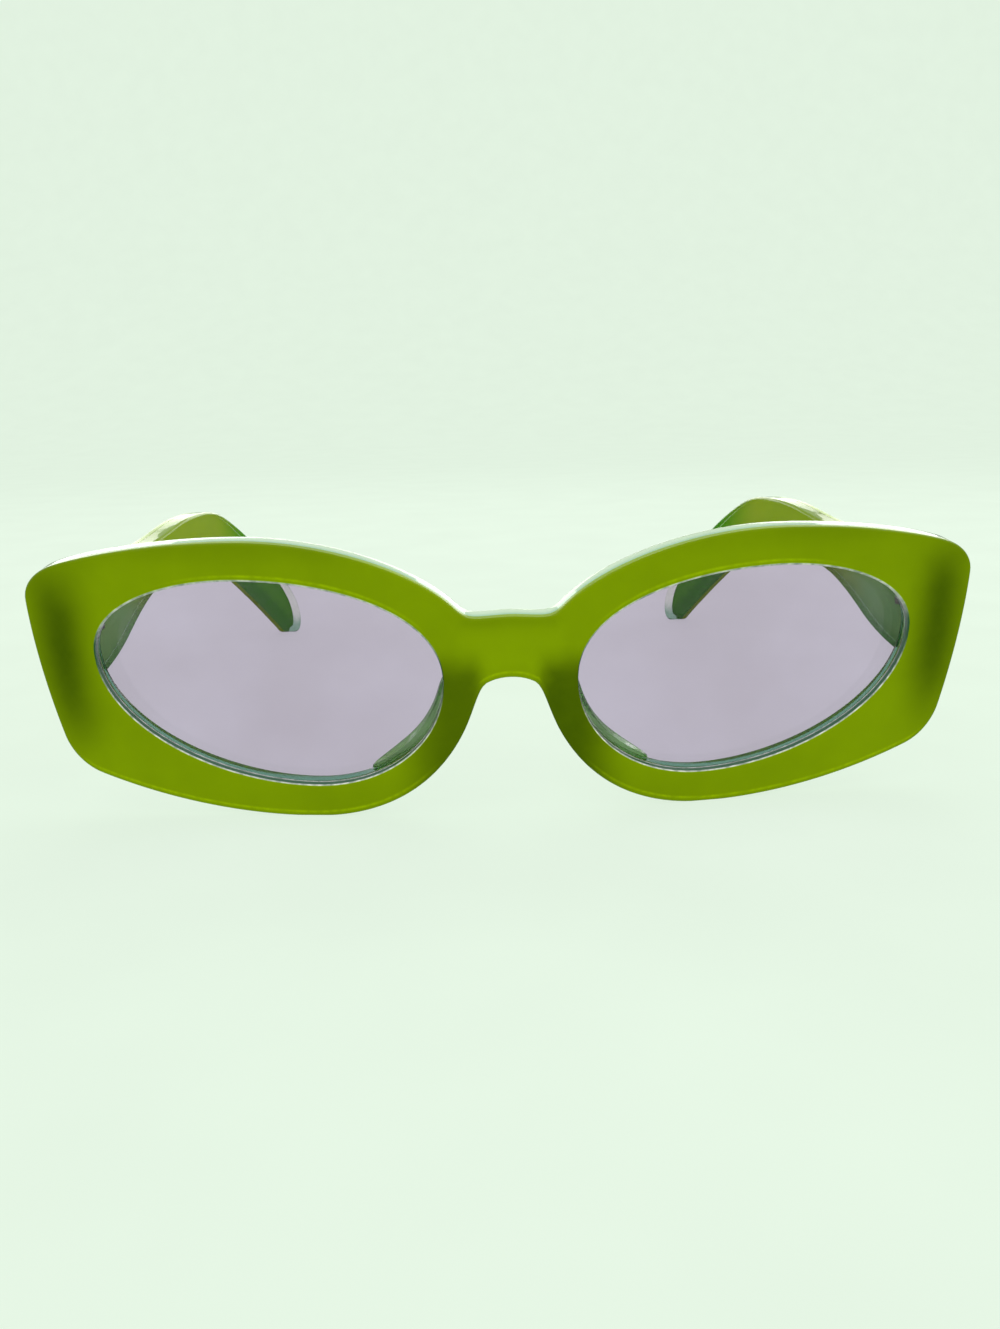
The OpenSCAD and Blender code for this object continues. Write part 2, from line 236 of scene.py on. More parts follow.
class Shell:
    """A closed solid made from outlines: rings run round each one, and a fine net covers each side.

    A point's tone sets how dark its green is, as painted shade. Its mark sets how bright the painted
    highlight on the crease of a green piece is, or how much painted green the wall of a clear one gathers.
    """

    def __init__(self, name, step):
        self.name, self.step = name, step
        self.points, self.tone, self.mark, self.faces = [], [], [], []
        self.other = {}         # the faces with a material of their own
        self.green = GREEN      # what a bonded face shows

    def add(self, point, tone=0.0, mark=0.0):
        self.points.append(point)
        self.tone.append(tone)
        self.mark.append(mark)
        return len(self.points) - 1

    def cap(self, loops, ids, place, tone, flip, bonded=False):
        """Covers the space between the loops, whose points are in already, as ids.

        A bonded side shows green.
        """
        step = self.step
        edge = np.vstack(loops)
        low, high = edge.min(0), edge.max(0)
        rows = np.arange(low[1] + step / 2, high[1], step * NET_ROW)
        grid = np.array([(x + (step / 2 if k % 2 else 0), y) for k, y in enumerate(rows)
                         for x in np.arange(low[0] + step / 2, high[0], step)])
        if len(grid):
            grid = grid[inside(grid, loops)]
        if len(grid):
            near = np.array([np.min(np.hypot(*(edge - g).T)) for g in grid])
            grid = grid[near > NET_MARGIN * step]
        flat_ids = [i for ring in ids for i in ring]
        for g in grid:
            flat_ids.append(self.add(place(g[0], g[1]), tone(g[0], g[1])))
        flat = [Vector(p) for p in edge] + [Vector(g) for g in grid]
        edges, start = [], 0
        for loop in loops:
            n = len(loop)
            edges += [(start + i, start + (i + 1) % n) for i in range(n)]
            start += n
        out = delaunay_2d_cdt(flat, edges, [], 0, 1e-7)
        verts, tris, source = out[0], out[2], out[3]
        centre = np.array([np.mean([verts[i] for i in t], axis=0) for t in tris])
        keep = inside(centre, loops)
        for t, good in zip(tris, keep):
            if good:
                face = [flat_ids[source[i][0]] for i in t]
                if bonded:
                    self.other[len(self.faces)] = self.green
                self.faces.append(face[::-1] if flip else face)

    def rings(self, loop, profile, place, tone, mark, wall=None):
        """Rings from one side's edge over the wall to the other side's edge; wall is the wall's material."""
        into = inward(loop)
        ids, flats = [], []
        table = [profile(p, -d) for p, d in zip(loop, into)]
        widest = max(row[0] for rows in table for row in rows)
        if widest > 0:
            ease = np.minimum(1.0, 0.8 * room(loop, into) / widest)
            table = [[(inset * e if inset > 0 else inset, depth) for inset, depth in rows]
                     for rows, e in zip(table, ease)]
        for k in range(len(table[0])):
            flat = loop + into * np.array([row[k][0] for row in table])[:, None]
            ring = [self.add(place(p[0], p[1], row[k][1]), tone(p[0], p[1]), mark(k, -d))
                    for p, row, d in zip(flat, table, into)]
            ids.append(ring)
            flats.append(flat)
        n = len(loop)
        for k, (a, b) in enumerate(zip(ids, ids[1:])):
            for i in range(n):
                j = (i + 1) % n
                if wall and k >= WALL_RING:
                    self.other[len(self.faces)] = wall
                self.faces.append([a[i], b[i], b[j], a[j]])
        return ids, flats

    def build(self, material, body, node, sharp=math.radians(40)):
        mesh = bpy.data.meshes.new(self.name)
        mesh.from_pydata([Vector(p) for p in self.points], [], self.faces)
        mesh.update()
        mark_name = "crease" if material == self.green else "wall"
        for key, values in (("tone", self.tone), (mark_name, self.mark)):
            mesh.attributes.new(key, "FLOAT", "POINT").data.foreach_set("value", values)
        mesh.polygons.foreach_set("use_smooth", [True] * len(mesh.polygons))
        mesh.set_sharp_from_angle(angle=sharp)
        mesh.materials.append(material)
        if self.other:
            kinds = sorted(set(self.other.values()), key=lambda m: m.name)
            for kind in kinds:
                mesh.materials.append(kind)
            numbers = [1 + kinds.index(self.other[k]) if k in self.other else 0
                       for k in range(len(self.faces))]
            mesh.polygons.foreach_set("material_index", numbers)
        piece = bpy.data.objects.new(self.name, mesh)
        bpy.context.scene.collection.objects.link(piece)
        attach(piece, body)
        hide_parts(node)
        return piece


def no_tone(x, z):
    return 0.0


def no_mark(k, out):
    return 0.0


def round_over(width, depth, top, steps=7):
    """(inset, depth) from a flat side out and over to its wall; top is the flat side's depth."""
    sign = 1 if depth > 0 else -1
    rows = [(width + 0.3, top), (width, top)]
    for k in range(1, steps + 1):
        turn = math.pi / 2 * k / steps
        rows.append((width * (1 - math.sin(turn)), top + sign * abs(depth) * (1 - math.cos(turn))))
    return rows


# ---------------------------------------------------------------- places
def on_front(x, up, w):
    """A point of the front, from its distance across, up the front and back."""
    y = FRONT_Y + w * math.cos(LEAN) - up * math.sin(LEAN)
    z = LIFT + up * math.cos(LEAN) + w * math.sin(LEAN)
    return Vector((x, y, max(z, 0.0))) * MM


def at_depth(x, up, depth):
    return on_front(x, up, WRAP_R - math.sqrt((WRAP_R - depth) ** 2 - x * x))


def flat_on_front(point):
    """(across, up) on the front of a point of the object."""
    y, z = point.y - FRONT_Y, point.z - LIFT
    return point.x, z * math.cos(LEAN) - y * math.sin(LEAN)


def lens_w(x, up, depth):
    """How far back a lens's surface lies, at a depth in the lens."""
    x = abs(x) - LENS_CENTRE[0]
    up = up - LENS_CENTRE[2]
    return LENS_CENTRE[1] - math.sqrt((LENS_R - depth) ** 2 - x * x - up * up)


def depth_of(x, w):
    return WRAP_R - math.sqrt((WRAP_R - w) ** 2 + x * x)


def on_temple(s, z, depth, side):
    """A point of a temple, from its distance behind the hinge end, its height and its depth.

    b is the distance along the temple's own line, which toes in, and a the distance out from that line.
    Each depends on the other once the temple curves, so a few rounds bring them together.
    """
    b = s
    for _ in range(4):
        a = -depth
        if b > SWEEP_START:
            a = -SWEEP_R + math.sqrt((SWEEP_R - depth) ** 2 - (b - SWEEP_START) ** 2)
        b = (s - a * math.sin(TOE_IN)) / math.cos(TOE_IN)
    x = TEMPLE_SPAN / 2 + a * math.cos(TOE_IN) - b * math.sin(TOE_IN)
    # The hinge end follows the front's back face
    w = WRAP_R - math.sqrt((WRAP_R - FRONT_T - BUTT_GAP) ** 2 - x * x)
    butt = FRONT_Y + w / math.cos(LEAN) - (z - LIFT) * math.tan(LEAN) - TEMPLE_Y
    y = TEMPLE_Y + s + butt * max(0.0, 1 - max(s, 0.0) / 9) ** 2
    return Vector((side * x, y, z)) * MM


# ---------------------------------------------------------------- painted shade laid out on the front
def bump(v, middle, half):
    return math.exp(-((v - middle) / half) ** 2)


def ramp(v, a, b):
    t = min(1.0, max(0.0, (v - a) / (b - a)))
    return t * t * (3 - 2 * t)


def face_shade(x, up):
    """Painted shade on the face: 0 where its green is palest, 1 where it is darkest."""
    side = abs(x)
    # Painted shade behind the temple's end, at the top corner and shoulder, beside the nose, low in the
    # middle and along the brow; painted light at the bridge.
    butt = 0.62 * bump(side, 67.4, 4.2) * ramp(up, 4, 20) * (1 - ramp(up, 32, 40))
    corner = 0.2 * ramp(side, 58, 68) * ramp(up, 33, 38)
    shoulder = 0.15 * bump(side, 69, 5) * bump(up, 27, 8)
    nasal = (0.6 if x < 0 else 0.72) * (1 - ramp(side, 9.5, 19)) * (1 - ramp(up, 22, 28)) * ramp(side, 3, 6)
    lower = 0.15 * (1 - ramp(side, 16, 40)) * (1 - ramp(up, 2, 9))
    brow = 0.15 * ramp(up, 39, 43) + 0.1 * bump(up, 31, 1.2) * (1 - ramp(side, 6, 8))
    bridge = 0.08 * (1 - ramp(side, 7.2, 8.4)) * ramp(up, 23.2, 24.6) * (1 - ramp(up, 29.6, 30.6))
    tone = 0.12 + butt + corner + shoulder + nasal + lower + brow - bridge
    return min(1.0, max(0.0, tone))


# ---------------------------------------------------------------- materials
def node_material(name):
    mat = bpy.data.materials.new(name)
    mat.use_nodes = True
    nt = mat.node_tree
    shader = nt.nodes["Principled BSDF"]
    return mat, nt, shader


def noise_node(nt, scale, detail=4.0, rough=0.5, stretch=None):
    coord = nt.nodes.new("ShaderNodeTexCoord")
    tex = nt.nodes.new("ShaderNodeTexNoise")
    tex.inputs["Scale"].default_value = scale
    tex.inputs["Detail"].default_value = detail
    tex.inputs["Roughness"].default_value = rough
    source = coord.outputs["Object"]
    if stretch:
        mapping = nt.nodes.new("ShaderNodeMapping")
        mapping.inputs["Scale"].default_value = stretch
        nt.links.new(source, mapping.inputs["Vector"])
        source = mapping.outputs["Vector"]
    nt.links.new(source, tex.inputs["Vector"])
    return tex.outputs["Fac"]


def map_range(nt, value, low, high, to_low, to_high):
    node = nt.nodes.new("ShaderNodeMapRange")
    for key, number in (("From Min", low), ("From Max", high), ("To Min", to_low), ("To Max", to_high)):
        node.inputs[key].default_value = number
    nt.links.new(value, node.inputs["Value"])
    return node.outputs["Result"]


def attribute(nt, name):
    node = nt.nodes.new("ShaderNodeAttribute")
    node.attribute_name = name
    return node.outputs["Fac"]


def maths(nt, kind, a, b):
    node = nt.nodes.new("ShaderNodeMath")
    node.operation = kind
    for socket, value in zip(node.inputs, (a, b)):
        if isinstance(value, (int, float)):
            socket.default_value = value
        else:
            nt.links.new(value, socket)
    return node.outputs[0]


def mixed(nt, factor, a, b):
    node = nt.nodes.new("ShaderNodeMix")
    node.data_type = "RGBA"
    nt.links.new(factor, node.inputs["Factor"])
    for key, value in (("A", a), ("B", b)):
        socket = next(s for s in node.inputs if s.name == key and s.type == "RGBA")
        if isinstance(value, tuple):
            socket.default_value = (*value, 1)
        else:
            nt.links.new(value, socket)
    return next(s for s in node.outputs if s.type == "RGBA")


def bumped(nt, shader, height, distance, strength=1.0):
    node = nt.nodes.new("ShaderNodeBump")
    node.inputs["Distance"].default_value = distance
    node.inputs["Strength"].default_value = strength
    nt.links.new(height, node.inputs["Height"])
    nt.links.new(node.outputs["Normal"], shader.inputs["Normal"])
    return node


# Painted reflection of the pale floor on a temple's inner face, low at the hinge end.
PAINTED_FLOOR_REFLECTION = (0.22, 0.48, 0.26)
# Painted light: a green painted into a clear layer's wall, standing in for the light it gathers from the
# green one.
PAINTED_GATHERED_GREEN = (0.10, 0.40, 0.22)       # the light that a clear layer's wall gathers from the green one


def green_acetate(name, gloss, palest=(0.245, 0.352, 0.0), highlight_colour=(0.42, 0.58, 0.0),
                  darkest=(0.035, 0.07, 0.0)):
    """Slightly cloudy lime green with a polished surface and painted highlights along its creases.

    Its tone is painted shade with a little random cloud: it runs from palest at tone 0 to darkest at 1, and
    to a painted reflection of the floor below 0.
    """
    mat, nt, shader = node_material(name)
    cloud = map_range(nt, noise_node(nt, 260, 5, 0.6), 0.3, 0.7, -0.025, 0.025)
    drift = map_range(nt, noise_node(nt, 60, 3, 0.5), 0.3, 0.7, -0.06, 0.06)
    tone = maths(nt, "ADD", maths(nt, "ADD", attribute(nt, "tone"), cloud), drift)
    green = mixed(nt, tone, palest, darkest)
    green = mixed(nt, maths(nt, "MULTIPLY", tone, -1.0), green, PAINTED_FLOOR_REFLECTION)
    # Painted highlights on the creases, broken up by noise.
    highlight_breakup = map_range(nt, noise_node(nt, 900, 3, 0.6), 0.35, 0.65, 0.35, 1.0)
    edge = maths(nt, "MULTIPLY", attribute(nt, "crease"), highlight_breakup)
    nt.links.new(mixed(nt, edge, green, highlight_colour), shader.inputs["Base Color"])
    rough = map_range(nt, noise_node(nt, 1500, 4, 0.6), 0.3, 0.7, 0.10, 0.2)
    nt.links.new(rough, shader.inputs["Roughness"])
    shader.inputs["IOR"].default_value = 1.45
    shader.inputs["Specular IOR Level"].default_value = gloss
    bumped(nt, shader, noise_node(nt, 420, 3, 0.5), 0.00002, 0.35)
    return mat


def lets_light_through(nt, shader, tint):
    """Lamps shine through this material, so that it throws a pale tinted shadow."""
    out = nt.nodes["Material Output"]
    path = nt.nodes.new("ShaderNodeLightPath")
    clear = nt.nodes.new("ShaderNodeBsdfTransparent")
    clear.inputs["Color"].default_value = (*tint, 1)
    mix = nt.nodes.new("ShaderNodeMixShader")
    nt.links.new(path.outputs["Is Shadow Ray"], mix.inputs[0])
    nt.links.new(shader.outputs[0], mix.inputs[1])
    nt.links.new(clear.outputs[0], mix.inputs[2])
    nt.links.new(mix.outputs[0], out.inputs["Surface"])


def clear_acetate(name, tint, roughness=0.03, bend=1.3, clarity=1.0, streaks=1.04):
    """Polished crystal acetate, faintly streaked, with a slight tint."""
    mat, nt, shader = node_material(name)
    streak = map_range(nt, noise_node(nt, 90, 4, 0.6, (1, 1, 3)), 0.35, 0.65, 0.0, 1.0)
    pale = tuple(min(1.0, c * streaks) for c in tint)
    body = mixed(nt, streak, tint, pale)
    # Painted light: where the wall mark is set, the green that the wall gathers from the green layer is
    # painted in.
    nt.links.new(mixed(nt, attribute(nt, "wall"), body, PAINTED_GATHERED_GREEN), shader.inputs["Base Color"])
    rough = map_range(nt, noise_node(nt, 1200, 4, 0.6), 0.3, 0.7, roughness * 0.6, roughness * 1.8)
    nt.links.new(rough, shader.inputs["Roughness"])
    shader.inputs["IOR"].default_value = bend
    shader.inputs["Transmission Weight"].default_value = clarity
    bumped(nt, shader, noise_node(nt, 300, 3, 0.5), 0.00003, 0.4)
    lets_light_through(nt, shader, tint)
    return mat


def tinted_lens():
    """Pale lavender-grey lens with a trace of uneven tint."""
    mat, nt, shader = node_material("tinted_lens")
    drift = map_range(nt, noise_node(nt, 45, 3, 0.5), 0.35, 0.65, 0.0, 1.0)
    nt.links.new(mixed(nt, drift, (0.605, 0.485, 0.665), (0.655, 0.53, 0.735)), shader.inputs["Base Color"])
    rough = map_range(nt, noise_node(nt, 800, 3, 0.5), 0.3, 0.7, 0.0, 0.02)
    nt.links.new(rough, shader.inputs["Roughness"])
    shader.inputs["IOR"].default_value = 1.5
    shader.inputs["Transmission Weight"].default_value = 1.0
    lets_light_through(nt, shader, (0.66, 0.56, 0.72))
    return mat


def metal(name, colour, dark, rough_low, rough_high, grain):
    """Plated or machined metal with fine turning marks and rounded, rubbed edges."""
    mat, nt, shader = node_material(name)
    shader.inputs["Metallic"].default_value = 1.0
    marks = noise_node(nt, grain, 5, 0.65, (1, 1, 6))
    stain = map_range(nt, noise_node(nt, 500, 4, 0.6), 0.35, 0.7, 0.0, 0.28)
    nt.links.new(mixed(nt, stain, colour, dark), shader.inputs["Base Color"])
    nt.links.new(map_range(nt, marks, 0.3, 0.7, rough_low, rough_high), shader.inputs["Roughness"])
    node = bumped(nt, shader, marks, 0.00002, 0.5)
    bevel = nt.nodes.new("ShaderNodeBevel")
    bevel.samples = 4
    bevel.inputs["Radius"].default_value = 0.00012
    nt.links.new(bevel.outputs["Normal"], node.inputs["Normal"])
    return mat


CRYSTAL = (0.90, 0.94, 0.84)
# The temples' darkest green, for painted shade at their tips and hinge ends.
PAINTED_SHADE_GREEN = (0.06, 0.25, 0.0)

GREEN = green_acetate("green_acetate", 0.05)
GREEN_EDGE = green_acetate("green_acetate_edge", 0.12)
GREEN_TEMPLE = green_acetate("green_acetate_temple", 0.4, darkest=PAINTED_SHADE_GREEN)
GREEN_BONDED = green_acetate("green_acetate_bonded", 0.05, (0.29, 0.355, 0.0), darkest=PAINTED_SHADE_GREEN)
# The lens openings' walls: painted dark teal shade, seen as through the lens's tint, with near-white painted
# highlights on their edges.
RIM_WALL = green_acetate("green_acetate_rim", 0.5, (0.025, 0.12, 0.05), (0.85, 0.85, 0.78))
CLEAR = clear_acetate("clear_acetate", CRYSTAL)
CLEAR_TEMPLE = clear_acetate("clear_acetate_temple", CRYSTAL, bend=1.16)
CLEAR_PAD = clear_acetate("clear_pad", (0.38, 0.66, 0.28), 0.06, clarity=0.6, streaks=1.45)
LENS = tinted_lens()
NICKEL = metal("hinge_nickel", (0.66, 0.64, 0.60), (0.40, 0.37, 0.32), 0.18, 0.34, 2500)
STEEL = metal("screw_steel", (0.60, 0.60, 0.61), (0.34, 0.34, 0.35), 0.16, 0.30, 3500)


# ---------------------------------------------------------------- the front's two layers
STEP_EDGE = 0.75
STEP_CAP = 1.3


def edge_size(out):
    """Width and depth of the polished edge: broader where it faces down."""
    down = max(0.0, -out[1])
    return FACE_ROUND + 0.5 * down, FACE_ROUND + 0.08 * down


def face_profile(p, out):
    width, depth = edge_size(out)
    return round_over(width, depth, 0.0) + [(0.0, FACE_WALL), (0.0, FACE_T - CHAMFER), (CHAMFER, FACE_T)]


def face_crease(k, out):
    """The painted highlight on the crease beside the polished edge, where the edge faces down."""
    down = ramp(-out[1], 0.6, 0.98)
    return (0.0, 0.65 * down, 0.3 * down)[k] if k < 3 else 0.0


def rim_crease(side):
    """Painted highlights round a lens opening: bright lines on its wall, and a bright crease above, towards
    the nose.
    """
    def amount(k, out):
        if k >= WALL_RING:
            lower = ramp(out[1], 0.05, 0.7) if k < 7 or k == 10 else 0.0
            return lower + 0.8 * ramp(-out[1], 0.2, 0.8)
        return face_crease(k, out) * ramp(side * out[0], -0.35, 0.05)
    return amount


def front_loops():
    """The front's outline, with side 0, and its two lens openings, each with its side."""
    lens = even(LENS_LOOP, STEP_EDGE)
    return [(oriented(even(FRONT_LOOP, STEP_EDGE), False), 0),
            (oriented(lens, True), 1),
            (oriented(mirror_x(lens), True), -1)]


def front_face():
    shell = Shell("front_face_green", STEP_CAP)
    fronts, backs = [], []
    for loop, side in front_loops():
        crease, wall = (rim_crease(side), RIM_WALL) if side else (face_crease, GREEN_EDGE)
        ids, flats = shell.rings(loop, face_profile, at_depth, face_shade, crease, wall)
        fronts.append((flats[0], ids[0]))
        backs.append((flats[-1], ids[-1]))
    for ends, depth, flip in ((fronts, 0.0, False), (backs, FACE_T, True)):
        shell.cap([f for f, _ in ends], [i for _, i in ends],
                  lambda x, z, d=depth: at_depth(x, z, d), face_shade, flip)
    return shell.build(GREEN, "front", "front_face")


def straight_loop(corners, step):
    """A closed outline with straight sides, its points a step apart."""
    out = []
    for a, b in zip(corners, corners[1:] + corners[:1]):
        a, b = np.array(a, float), np.array(b, float)
        n = max(1, round(np.linalg.norm(b - a) / step))
        out += [a + (b - a) * k / n for k in range(n)]
    return np.array(out)


def pocket_loop(leaf, flat):
    """The outline of the recess for a hinge leaf, laid out by flat."""
    (x0, x1), (z0, z1) = leaf
    x0, x1, z0, z1 = x0 - POCKET_GAP, x1 + POCKET_GAP, z0 - POCKET_GAP, z1 + POCKET_GAP
    corners = [flat(x, z) for x, z in ((x0, z0), (x1, z0), (x1, z1), (x0, z1))]
    return oriented(straight_loop(corners, 1.2), True)


def front_pocket(side):
    """The outline, on the front, of the recess for a hinge leaf."""
    turn = Matrix.Rotation(WRAP_TURN, 3, "Z") @ Matrix.Rotation(LEAN, 3, "X")

    def flat(x, z):
        across, up = flat_on_front(HINGE + turn @ Vector((x, -TO_FRONT, z)))
        return side * across, up

    return pocket_loop(FRONT_LEAF, flat)


def backing_profile(p, out):
    rows = [(CHAMFER, FACE_T + LAYER_GAP), (0.0, FACE_T + LAYER_GAP + CHAMFER), (0.0, BACKING_WALL)]
    return rows + round_over(BACK_ROUND, -BACK_ROUND, FRONT_T)[::-1]


def groove_profile(p, out):
    """As the backing's edge, with the lens's groove in the wall."""
    def row(inset, lens_depth):
        q = p - out * inset
        return inset, depth_of(q[0], lens_w(q[0], q[1], lens_depth))

    rows = [(CHAMFER, FACE_T + LAYER_GAP), (0.0, FACE_T + LAYER_GAP + CHAMFER)]
    first = row(0.0, -GROOVE_GAP)
    rows.append((0.0, max(first[1], rows[-1][1] + 0.02)))
    rows += [row(GROOVE, -GROOVE_GAP), row(GROOVE, LENS_T + GROOVE_GAP), row(0.0, LENS_T + GROOVE_GAP)]
    return rows + round_over(RIM_ROUND, -RIM_ROUND, FRONT_T)[::-1]


def outer_wall(k, out):
    """Painted green on the wall close to the green layer, for the light it gathers from it."""
    return (0.85, 0.85, 0.35)[k] if k < 3 else 0.05


def groove_wall(side):
    """How much painted green, for the light it gathers from the green layer, a ring of the lens opening's
    wall shows: less at the nose, behind the pads.
    """
    def amount(k, out):
        nasal = ramp(side * out[0], 0.2, 0.8)
        return (1.0 if 1 < k < 11 else 0.3) * (1 - 0.85 * nasal)
    return amount


def front_backing():
    shell = Shell("front_backing_clear", STEP_CAP)
    fronts, backs = [], []
    for loop, side in front_loops():
        profile, wall = (groove_profile, groove_wall(side)) if side else (backing_profile, outer_wall)
        ids, flats = shell.rings(loop, profile, at_depth, face_shade, wall)
        fronts.append((flats[0], ids[0]))
        backs.append((flats[-1], ids[-1]))
    floor = FRONT_T - LEAF_T - POCKET_GAP
    for side in (1, -1):
        loop = front_pocket(side)
        ids, flats = shell.rings(loop, lambda p, out: [(0, floor), (0, FRONT_T)], at_depth, no_tone, no_mark)
        backs.append((flats[-1], ids[-1]))
        shell.cap([flats[0]], [ids[0]], lambda x, z: at_depth(x, z, floor), no_tone, True)
    shell.cap([f for f, _ in fronts], [i for _, i in fronts],
              lambda x, z: at_depth(x, z, FACE_T + LAYER_GAP), face_shade, False, bonded=True)
    shell.cap([f for f, _ in backs], [i for _, i in backs],
              lambda x, z: at_depth(x, z, FRONT_T), no_tone, True)
    return shell.build(CLEAR, "front", "front_backing")


# ---------------------------------------------------------------- lenses and nose pads
def lens(side, word):
    shell = Shell("lens_" + word + "_tinted", 3.0)
    loop = oriented(even([p * (side, 1) for p in LENS_LOOP], 0.9), False)
    reach = GROOVE - GROOVE_GAP

    def profile(p, out):
        front = [(-reach + 0.35, 0.0), (-reach + 0.12, 0.0), (-reach, LENS_CHAMFER)]
        return front + [(inset, LENS_T - depth) for inset, depth in front[::-1]]

    def place(x, up, depth):
        return on_front(x, up, lens_w(x, up, depth))

    ids, flats = shell.rings(loop, profile, place, no_tone, no_mark)
    shell.cap([flats[0]], [ids[0]], lambda x, z: place(x, z, 0.0), no_tone, False)
    shell.cap([flats[-1]], [ids[-1]], lambda x, z: place(x, z, LENS_T), no_tone, True)
    return shell.build(LENS, "front", "lens_" + word)


def pad_top(x, up):
    """Depth of a nose pad's back: a ball, eased off where it is cut level."""
    (cx, cw, cz), r = PAD_BALL
    ball = depth_of(x, cw + math.sqrt(max(1.0, r * r - (abs(x) - cx) ** 2 - (up - cz) ** 2)))
    level = FRONT_T + PAD_T
    ease = 1.2
    top = -ease * math.log(math.exp(-ball / ease) + math.exp(-level / ease))
    return max(top, FRONT_T + 0.2)


def nose_pad(side, word):
    shell = Shell("nose_pad_" + word + "_clear", 1.0)
    loop = oriented(even([p * (side, 1) for p in PAD_LOOP], 0.5), False)
    low = FRONT_T + LAYER_GAP

    def profile(p, out):
        rows = [(0.1, low), (0.0, low)]
        for k in range(8):
            turn = math.pi / 2 * k / 7
            inset = PAD_ROUND * (1 - math.cos(turn))
            q = p - out * inset
            top = pad_top(q[0], q[1])
            rows.append((inset, low + (top - low) * (0.35 + 0.65 * math.sin(turn))))
        return rows

    ids, flats = shell.rings(loop, profile, at_depth, no_tone, no_mark)
    shell.cap([flats[0]], [ids[0]], lambda x, z: at_depth(x, z, low), no_tone, False)
    shell.cap([flats[-1]], [ids[-1]], lambda x, z: at_depth(x, z, pad_top(x, z)), no_tone, True)
    return shell.build(CLEAR_PAD, "front", "nose_pad_" + word)


# ---------------------------------------------------------------- temples
def temple_shade(s, z):
    """Painted shade: a little darker at the hinge end and towards the tip."""
    return 0.1 + 0.12 * bump(s, 4, 5) + 0.4 * ramp(s, 92, 122)


def inner_shade_and_reflection(s, z):
    """The green seen through the clear layer, with painted shade, cooler towards the tip, and a painted pale
    reflection of the floor low at the hinge end.
    """
    # Painted reflection of the pale floor, low at the hinge end.
    floor_reflection = 0.75 * (1 - ramp(s, 22, 48)) * (1 - ramp(z, 29, 36))
    return temple_shade(s, z) + 0.6 * ramp(s, 88, 112) - floor_reflection


def temple_pocket():
    """The outline, on a temple's inner face, of the recess for a hinge leaf."""
    turn = Matrix.Rotation(TOE_IN, 3, "Z")

    def flat(y, z):
        p = HINGE + turn @ Vector((TO_TEMPLE, y, z))
        return p.y - TEMPLE_Y, p.z

    return pocket_loop(TEMPLE_LEAF, flat)


def temple_layer(side, word, outer):
    """One layer of a temple; outer is the green one."""
    name = "temple_" + ("outer_" if outer else "inner_") + word
    shell = Shell(name + ("_green" if outer else "_clear"), 2.2)
    shell.green = GREEN_TEMPLE if outer else GREEN_BONDED
    loop = oriented(even(TEMPLE_LOOP, 0.8), False)
    low, high = (0.0, OUTER_T) if outer else (OUTER_T + LAYER_GAP, TEMPLE_T)

    def place(s, z, depth):
        return on_temple(s, max(z, 0.0), depth, side)

    def profile(p, out):
        if outer:
            rows = [(0.0, FACE_WALL), (0.0, high - CHAMFER), (CHAMFER, high)]
            return round_over(TEMPLE_OUTER_ROUND, TEMPLE_OUTER_ROUND, low) + rows
        rows = [(CHAMFER, low), (0.0, low + CHAMFER), (0.0, BACKING_WALL)]
        return rows + round_over(TEMPLE_INNER_ROUND, -TEMPLE_INNER_ROUND, high)[::-1]

    # Outer layer: a painted highlight along the edge's first ring. Inner layer: painted green along the lower
    # edges, for the light gathered from the green layer.
    def crease(k, out):
        if outer:
            return 0.25 if k == 1 else 0.0
        return 0.7 * ramp(-out[1], -0.3, 0.4)

    tone = temple_shade if outer else inner_shade_and_reflection
    ids, flats = shell.rings(loop, profile, place, tone, crease, GREEN_EDGE if outer else None)
    inner_loops, inner_ids = [flats[-1]], [ids[-1]]
    if not outer:
        floor = TEMPLE_T - LEAF_T - POCKET_GAP
        recess_ids, recess = shell.rings(temple_pocket(), lambda p, out: [(0, floor), (0, high)],
                                         place, no_tone, no_mark)
        shell.cap([recess[0]], [recess_ids[0]], lambda s, z: place(s, z, floor), no_tone, True)
        inner_loops.append(recess[-1])
        inner_ids.append(recess_ids[-1])
    shell.cap([flats[0]], [ids[0]], lambda s, z: place(s, z, low), tone, False, bonded=not outer)
    shell.cap(inner_loops, inner_ids, lambda s, z: place(s, z, high), tone, True)
    if side < 0:
        shell.faces = [f[::-1] for f in shell.faces]
    material = GREEN_TEMPLE if outer else CLEAR_TEMPLE
    return shell.build(material, word + "_temple", name)


front_face()
front_backing()
for side, word in ((1, "left"), (-1, "right")):
    lens(side, word)
    nose_pad(side, word)
    temple_layer(side, word, True)
    temple_layer(side, word, False)

for name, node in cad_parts.items():
    if node.hide_render:
        continue
    node.data.materials.clear()
    node.data.materials.append(STEEL if "screw" in name else NICKEL)

# ---------------------------------------------------------------- floor, light and camera
FLOOR_COLOUR = (0.80, 0.925, 0.79)
BACKDROP_COLOUR = (0.92, 1.06, 0.905)
SKY_COLOUR = (0.92, 1.0, 0.93)
EYE = (-7.6, -220.0, 61.7)
EYE_TURNS = (2.32, 14.13, 1.35)     # yaw, pitch and roll in degrees
EYE_LENS = 28.1


